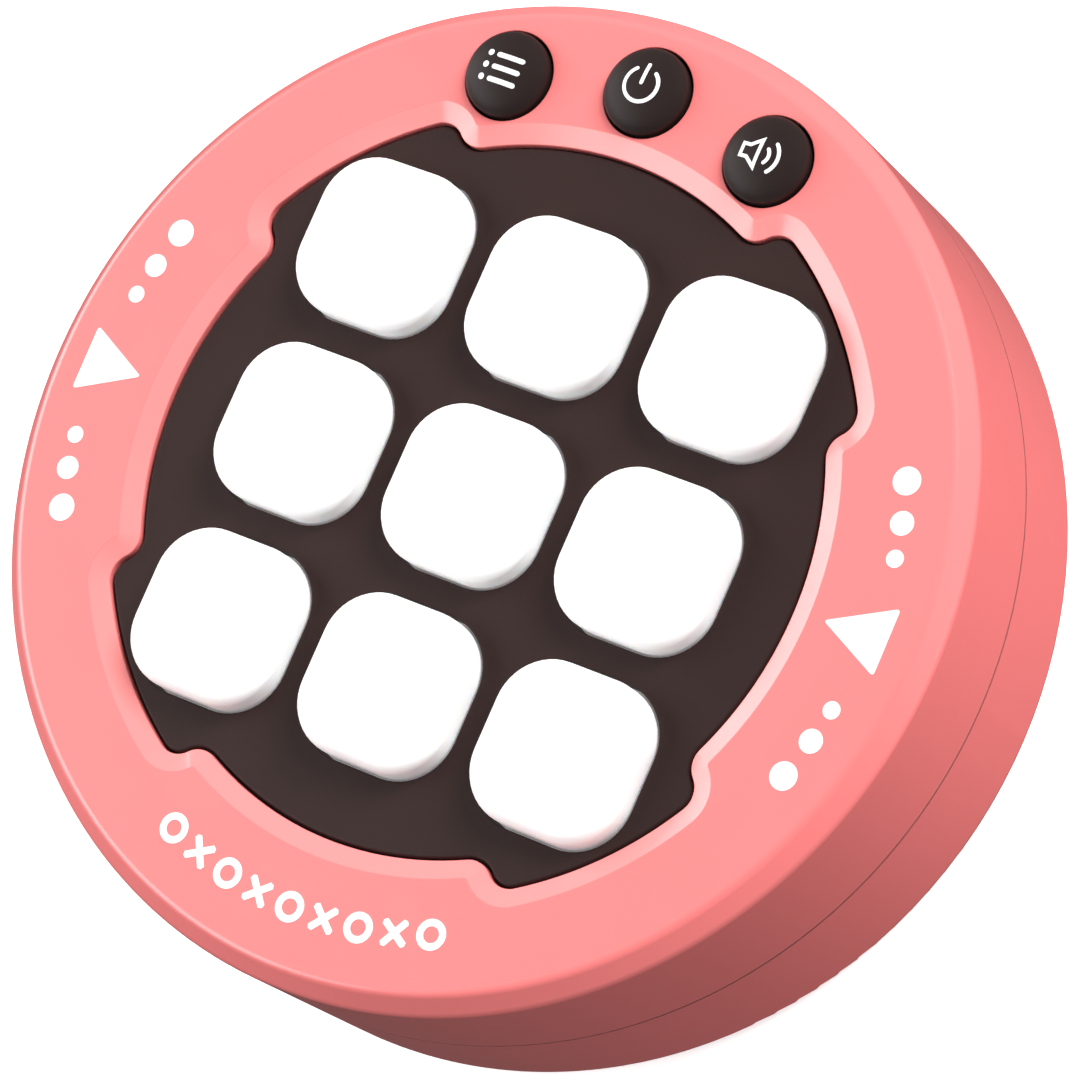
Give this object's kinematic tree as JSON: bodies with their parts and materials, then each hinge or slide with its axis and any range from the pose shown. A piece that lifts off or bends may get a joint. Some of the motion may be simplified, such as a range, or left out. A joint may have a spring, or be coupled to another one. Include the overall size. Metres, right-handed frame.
{
  "type": "electronic tic tac toe game",
  "caption": "Round handheld light-up noughts-and-crosses console: a domed ring casing with a notched dark panel of square illuminated push keys, small control buttons and a rear battery door.",
  "frame": {"origin": "centre of the flat base, on the surface that the console lies on", "axes": "+Z out of the playing face, +Y towards the power button, +X to its right; millimetres in the source, metres in the row"},
  "size_m": [0.1116, 0.1116, 0.0354],
  "materials": {
    "casing": "satin moulded ABS, fine spark texture",
    "panel": "satin moulded ABS",
    "key": "translucent white, satin",
    "button": "satin",
    "baffle": "matt white",
    "rubber_grey": "matt silicone rubber",
    "board": "solder-masked glass-fibre board",
    "carbon": "printed carbon",
    "lamp": "diffused epoxy",
    "chip": "moulded epoxy",
    "capacitor": "sleeved aluminium can",
    "steel": "zinc plated",
    "magnet": "nickel plated",
    "speaker_paper": "coated paper",
    "cell": "printed sleeve",
    "contact_metal": "nickel-plated spring steel",
    "lead_red": "PVC insulation",
    "lead_black": "PVC insulation"
  },
  "bodies": {
    "case": {"front_shell": "casing", "rear_shell": "casing", "game_panel": "panel", "keypad_mat": "rubber_grey", "light_baffle": "baffle", "main_board": "board", "contact_pads": "carbon", "key_leds": "lamp", "controller_chip": "chip", "capacitors": "capacitor", "resistors": "chip", "speaker_frame": "steel", "speaker_magnet": "magnet", "speaker_cone": "speaker_paper", "battery_cell_1": "cell", "battery_cell_2": "cell", "battery_cell_3": "cell", "battery_plates": "contact_metal", "battery_springs": "contact_metal", "case_screws": "steel", "board_screws": "steel", "battery_lead_positive": "lead_red", "battery_lead_negative": "lead_black", "speaker_lead_positive": "lead_red", "speaker_lead_negative": "lead_black", "dome_r1c1": "rubber_grey", "dome_r1c2": "rubber_grey", "dome_r1c3": "rubber_grey", "dome_r2c1": "rubber_grey", "dome_r2c2": "rubber_grey", "dome_r2c3": "rubber_grey", "dome_r3c1": "rubber_grey", "dome_r3c2": "rubber_grey", "dome_r3c3": "rubber_grey", "mode_dome": "rubber_grey", "power_dome": "rubber_grey", "sound_dome": "rubber_grey"},
    "key_r1c1": {"key_r1c1": "key"},
    "key_r1c2": {"key_r1c2": "key"},
    "key_r1c3": {"key_r1c3": "key"},
    "key_r2c1": {"key_r2c1": "key"},
    "key_r2c2": {"key_r2c2": "key"},
    "key_r2c3": {"key_r2c3": "key"},
    "key_r3c1": {"key_r3c1": "key"},
    "key_r3c2": {"key_r3c2": "key"},
    "key_r3c3": {"key_r3c3": "key"},
    "mode_button": {"mode_button": "button"},
    "power_button": {"power_button": "button"},
    "sound_button": {"sound_button": "button"},
    "battery_door": {"battery_door": "casing", "door_screws": "steel"}
  },
  "joints": [
    {"name": "key_r1c1_press", "type": "slide", "parent": "case", "child": "key_r1c1", "axis": [0, 0, -1], "range_m": [0, 0.0016], "stiffness_N_per_m": 450, "springref_m": -0.0006, "deforming": ["dome_r1c1"]},
    {"name": "key_r1c2_press", "type": "slide", "parent": "case", "child": "key_r1c2", "axis": [0, 0, -1], "range_m": [0, 0.0016], "stiffness_N_per_m": 450, "springref_m": -0.0006, "deforming": ["dome_r1c2"]},
    {"name": "key_r1c3_press", "type": "slide", "parent": "case", "child": "key_r1c3", "axis": [0, 0, -1], "range_m": [0, 0.0016], "stiffness_N_per_m": 450, "springref_m": -0.0006, "deforming": ["dome_r1c3"]},
    {"name": "key_r2c1_press", "type": "slide", "parent": "case", "child": "key_r2c1", "axis": [0, 0, -1], "range_m": [0, 0.0016], "stiffness_N_per_m": 450, "springref_m": -0.0006, "deforming": ["dome_r2c1"]},
    {"name": "key_r2c2_press", "type": "slide", "parent": "case", "child": "key_r2c2", "axis": [0, 0, -1], "range_m": [0, 0.0016], "stiffness_N_per_m": 450, "springref_m": -0.0006, "deforming": ["dome_r2c2"]},
    {"name": "key_r2c3_press", "type": "slide", "parent": "case", "child": "key_r2c3", "axis": [0, 0, -1], "range_m": [0, 0.0016], "stiffness_N_per_m": 450, "springref_m": -0.0006, "deforming": ["dome_r2c3"]},
    {"name": "key_r3c1_press", "type": "slide", "parent": "case", "child": "key_r3c1", "axis": [0, 0, -1], "range_m": [0, 0.0016], "stiffness_N_per_m": 450, "springref_m": -0.0006, "deforming": ["dome_r3c1"]},
    {"name": "key_r3c2_press", "type": "slide", "parent": "case", "child": "key_r3c2", "axis": [0, 0, -1], "range_m": [0, 0.0016], "stiffness_N_per_m": 450, "springref_m": -0.0006, "deforming": ["dome_r3c2"]},
    {"name": "key_r3c3_press", "type": "slide", "parent": "case", "child": "key_r3c3", "axis": [0, 0, -1], "range_m": [0, 0.0016], "stiffness_N_per_m": 450, "springref_m": -0.0006, "deforming": ["dome_r3c3"]},
    {"name": "mode_button_press", "type": "slide", "parent": "case", "child": "mode_button", "axis": [0, 0, -1], "range_m": [0, 0.001], "stiffness_N_per_m": 600, "springref_m": -0.0006, "deforming": ["mode_dome"]},
    {"name": "power_button_press", "type": "slide", "parent": "case", "child": "power_button", "axis": [0, 0, -1], "range_m": [0, 0.001], "stiffness_N_per_m": 600, "springref_m": -0.0006, "deforming": ["power_dome"]},
    {"name": "sound_button_press", "type": "slide", "parent": "case", "child": "sound_button", "axis": [0, 0, -1], "range_m": [0, 0.001], "stiffness_N_per_m": 600, "springref_m": -0.0006, "deforming": ["sound_dome"]},
    {"name": "battery_door_lift", "type": "slide", "parent": "case", "child": "battery_door", "axis": [0, 0, -1], "range_m": [0, 0.012]}
  ]
}
